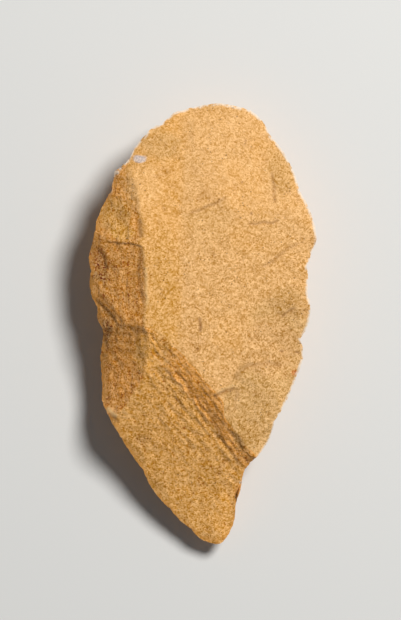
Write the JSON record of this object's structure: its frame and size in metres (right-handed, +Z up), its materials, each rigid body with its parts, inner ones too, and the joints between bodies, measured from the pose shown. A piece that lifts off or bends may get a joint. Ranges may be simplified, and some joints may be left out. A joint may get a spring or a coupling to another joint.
{
  "type": "stone hand axe",
  "caption": "Pear-shaped quartzite hand axe flaked on both faces, with a broad butt, a pointed tip and a step left by a large flake scar.",
  "frame": {"origin": "under the middle of the stone's box, on the surface it lies on", "axes": "+Y from the tip towards the butt, +X towards the side that is on the right when the tip points at the viewer's feet, +Z up out of the worked side"},
  "size_m": [0.103, 0.2, 0.044],
  "materials": {
    "quartzite": "matte"
  },
  "bodies": {
    "root": {"hand_axe": "quartzite"}
  },
  "joints": []
}
